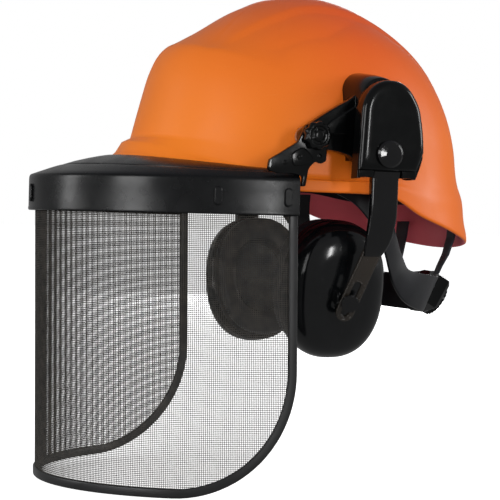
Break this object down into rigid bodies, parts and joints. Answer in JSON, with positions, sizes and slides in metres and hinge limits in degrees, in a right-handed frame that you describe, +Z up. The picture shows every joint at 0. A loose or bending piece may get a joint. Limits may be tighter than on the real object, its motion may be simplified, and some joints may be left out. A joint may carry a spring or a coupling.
{
  "type": "hard hat",
  "caption": "Hard hat shell with a lifting mesh face visor on a browguard and a pair of sprung ear muffs on slotted arms, with headband, crown straps and nape adjuster.",
  "frame": {"origin": "centre of the headband, at the height of the shell's lower edge over the ears", "axes": "+Z up through the crown, -Y towards the face and visor, +X towards the wearer's left ear"},
  "size_m": [0.2946, 0.3401, 0.36],
  "materials": {
    "orange_shell": "satin injection-moulded shell",
    "black_plastic": "fine satin moulding",
    "gloss_black": "high gloss",
    "cushion_skin": "soft vinyl skin over foam",
    "foam": "open foam and towelling",
    "webbing": "woven webbing",
    "steel": "turned pins and bolts",
    "wire_mesh": "fine woven mesh, a sheet in the solids"
  },
  "bodies": {
    "helmet": {"shell": "orange_shell", "headband": "black_plastic", "sweatband": "foam", "crown_strap_1": "webbing", "crown_strap_2": "webbing", "crown_strap_3": "webbing", "crown_pad": "foam", "clip_front_left": "black_plastic", "clip_front_right": "black_plastic", "clip_rear_left": "black_plastic", "clip_rear_right": "black_plastic", "clip_front_centre": "black_plastic", "clip_rear_centre": "black_plastic", "nape_band": "black_plastic", "nape_strap_left": "black_plastic", "nape_strap_right": "black_plastic", "adjuster_housing": "black_plastic", "ear_mount_left": "black_plastic", "ear_mount_right": "black_plastic", "slot_adapter_left": "black_plastic", "slot_adapter_right": "black_plastic", "pivot_cap_left": "gloss_black", "pivot_cap_right": "gloss_black", "visor_bolt_left": "steel", "visor_bolt_right": "steel", "arm_hinge_pin_left": "steel", "arm_hinge_pin_right": "steel"},
    "visor": {"browguard": "black_plastic", "brow_arm_left": "black_plastic", "brow_arm_right": "black_plastic", "visor_mesh": "wire_mesh", "visor_trim": "black_plastic", "visor_stud_1": "black_plastic", "visor_stud_2": "black_plastic", "visor_stud_3": "black_plastic", "visor_stud_4": "black_plastic", "visor_stud_5": "black_plastic"},
    "knob_left": {"visor_knob_left": "black_plastic"},
    "knob_right": {"visor_knob_right": "black_plastic"},
    "adjuster": {"adjuster_wheel": "black_plastic", "adjuster_pinion": "steel"},
    "arm_left": {"ear_arm_left": "black_plastic"},
    "slider_left": {"cup_stud_left": "black_plastic"},
    "muff_left": {"cup_shell_left": "gloss_black", "cup_plate_left": "black_plastic", "cup_foam_left": "foam", "ear_cushion_left": "cushion_skin"},
    "arm_right": {"ear_arm_right": "black_plastic"},
    "slider_right": {"cup_stud_right": "black_plastic"},
    "muff_right": {"cup_shell_right": "gloss_black", "cup_plate_right": "black_plastic", "cup_foam_right": "foam", "ear_cushion_right": "cushion_skin"}
  },
  "joints": [
    {"name": "visor_lift", "type": "hinge", "parent": "helmet", "child": "visor", "pos_m": [0, -0.0345, 0.0395], "axis": [-1, 0, 0], "range_deg": [0, 88]},
    {"name": "visor_knob_turn_left", "type": "hinge", "parent": "helmet", "child": "knob_left", "pos_m": [0.127, -0.0345, 0.0395], "axis": [1, 0, 0], "continuous": true},
    {"name": "visor_knob_turn_right", "type": "hinge", "parent": "helmet", "child": "knob_right", "pos_m": [-0.127, -0.0345, 0.0395], "axis": [-1, 0, 0], "continuous": true},
    {"name": "ear_open_left", "type": "hinge", "parent": "helmet", "child": "arm_left", "pos_m": [0.133, 0.0135, 0.0155], "axis": [0, -1, 0], "range_deg": [0, 35], "stiffness_Nm_per_rad": 0.6, "springref_deg": -20.05},
    {"name": "cup_height_left", "type": "slide", "parent": "arm_left", "child": "slider_left", "axis": [-0.318, -0.2746, -0.9075], "range_m": [-0.007, 0.007]},
    {"name": "cup_tilt_left", "type": "hinge", "parent": "slider_left", "child": "muff_left", "pos_m": [0.1073, 0, -0.07325], "axis": [0, 1, 0], "range_deg": [-8, 8]},
    {"name": "ear_open_right", "type": "hinge", "parent": "helmet", "child": "arm_right", "pos_m": [-0.133, 0.0135, 0.0155], "axis": [0, 1, 0], "range_deg": [0, 35], "stiffness_Nm_per_rad": 0.6, "springref_deg": -20.05},
    {"name": "cup_height_right", "type": "slide", "parent": "arm_right", "child": "slider_right", "axis": [0.318, -0.2746, -0.9075], "range_m": [-0.007, 0.007]},
    {"name": "cup_tilt_right", "type": "hinge", "parent": "slider_right", "child": "muff_right", "pos_m": [-0.1073, 0, -0.07325], "axis": [0, 1, 0], "range_deg": [-8, 8]},
    {"name": "adjuster_turn", "type": "hinge", "parent": "helmet", "child": "adjuster", "pos_m": [0, 0.1144, -0.071], "axis": [0, 0.866, -0.5], "continuous": true}
  ]
}
